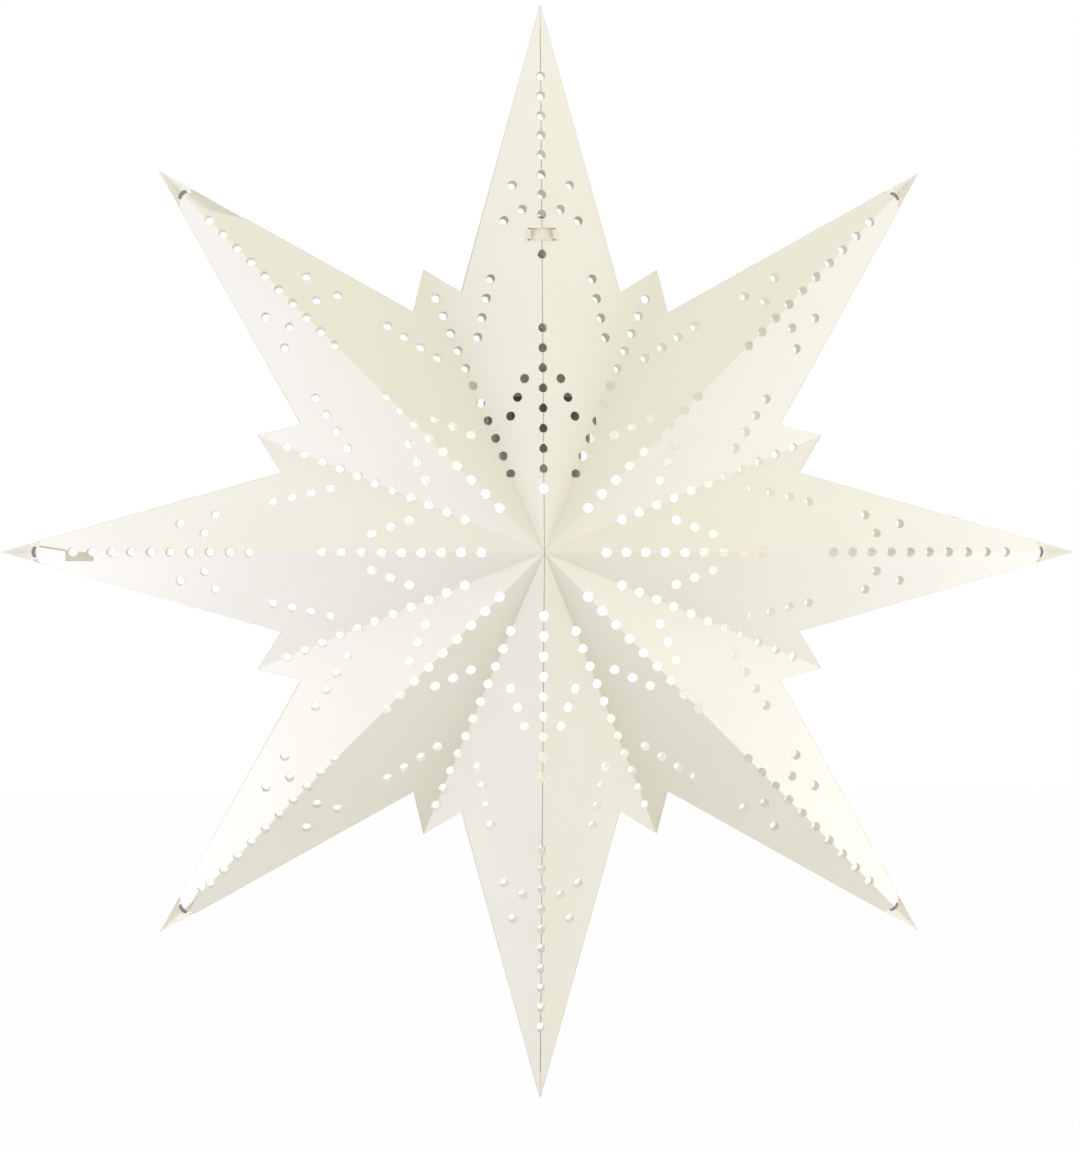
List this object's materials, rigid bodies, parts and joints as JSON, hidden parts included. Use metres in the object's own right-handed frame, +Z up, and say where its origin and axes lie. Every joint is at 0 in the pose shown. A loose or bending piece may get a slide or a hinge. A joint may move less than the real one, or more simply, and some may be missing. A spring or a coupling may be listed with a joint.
{
  "type": "pendant star lamp",
  "caption": "Perforated, folded sheet-metal star shade with a screw-in bulb in a lampholder, hung by its cord from a rear grommet.",
  "frame": {"origin": "middle of the star, on its mid plane and on the lamp's axis", "axes": "+Z up towards the upper seam tip, -Y out of the front of the star, +X to the viewer's right from the front"},
  "size_m": [0.55, 0.1, 0.5582],
  "materials": {
    "shade_paint": "fine satin powder coat, warm white",
    "bracket_paint": "satin powder coat, cream",
    "tube_zinc": "zinc plated, turned",
    "nut_zinc": "zinc plated",
    "grommet_rubber": "matt, light grey",
    "holder_plastic": "moulded smoke grey, soft gloss",
    "cap_plastic": "moulded pale grey, soft gloss",
    "core_ceramic": "unglazed white",
    "contact_brass": "bright pressed brass",
    "screw_steel": "zinc plated",
    "bulb_opal": "opal inside coat",
    "bulb_nickel": "nickel plated, rolled thread",
    "bulb_vitrite": "black glass",
    "tip_solder": "dull solder",
    "stem_glass": "clear",
    "filament_yellow": "phosphor coat on light filaments"
  },
  "bodies": {
    "lamp": {"front_right_panel": "shade_paint", "front_left_panel": "shade_paint", "rear_right_panel": "shade_paint", "rear_left_panel": "shade_paint", "hanger_bracket": "bracket_paint", "threaded_tube": "tube_zinc", "tube_nuts": "nut_zinc", "cord_grommet": "grommet_rubber", "holder_cap": "cap_plastic", "cap_lock_screw": "screw_steel", "holder_skirt": "holder_plastic", "shade_ring": "holder_plastic", "holder_core": "core_ceramic", "terminals": "contact_brass", "terminal_screws": "screw_steel", "thread_sleeve": "contact_brass", "centre_contact": "contact_brass", "side_contact": "contact_brass"},
    "bulb": {"bulb_screw_cap": "bulb_nickel", "bulb_insulator": "bulb_vitrite", "bulb_tip_contact": "tip_solder", "bulb_glass": "bulb_opal", "bulb_stem": "stem_glass", "bulb_filaments": "filament_yellow"}
  },
  "joints": [
    {"name": "bulb_unscrew", "type": "slide", "parent": "lamp", "child": "bulb", "axis": [0, 0, -1], "range_m": [0, 0.03]}
  ]
}
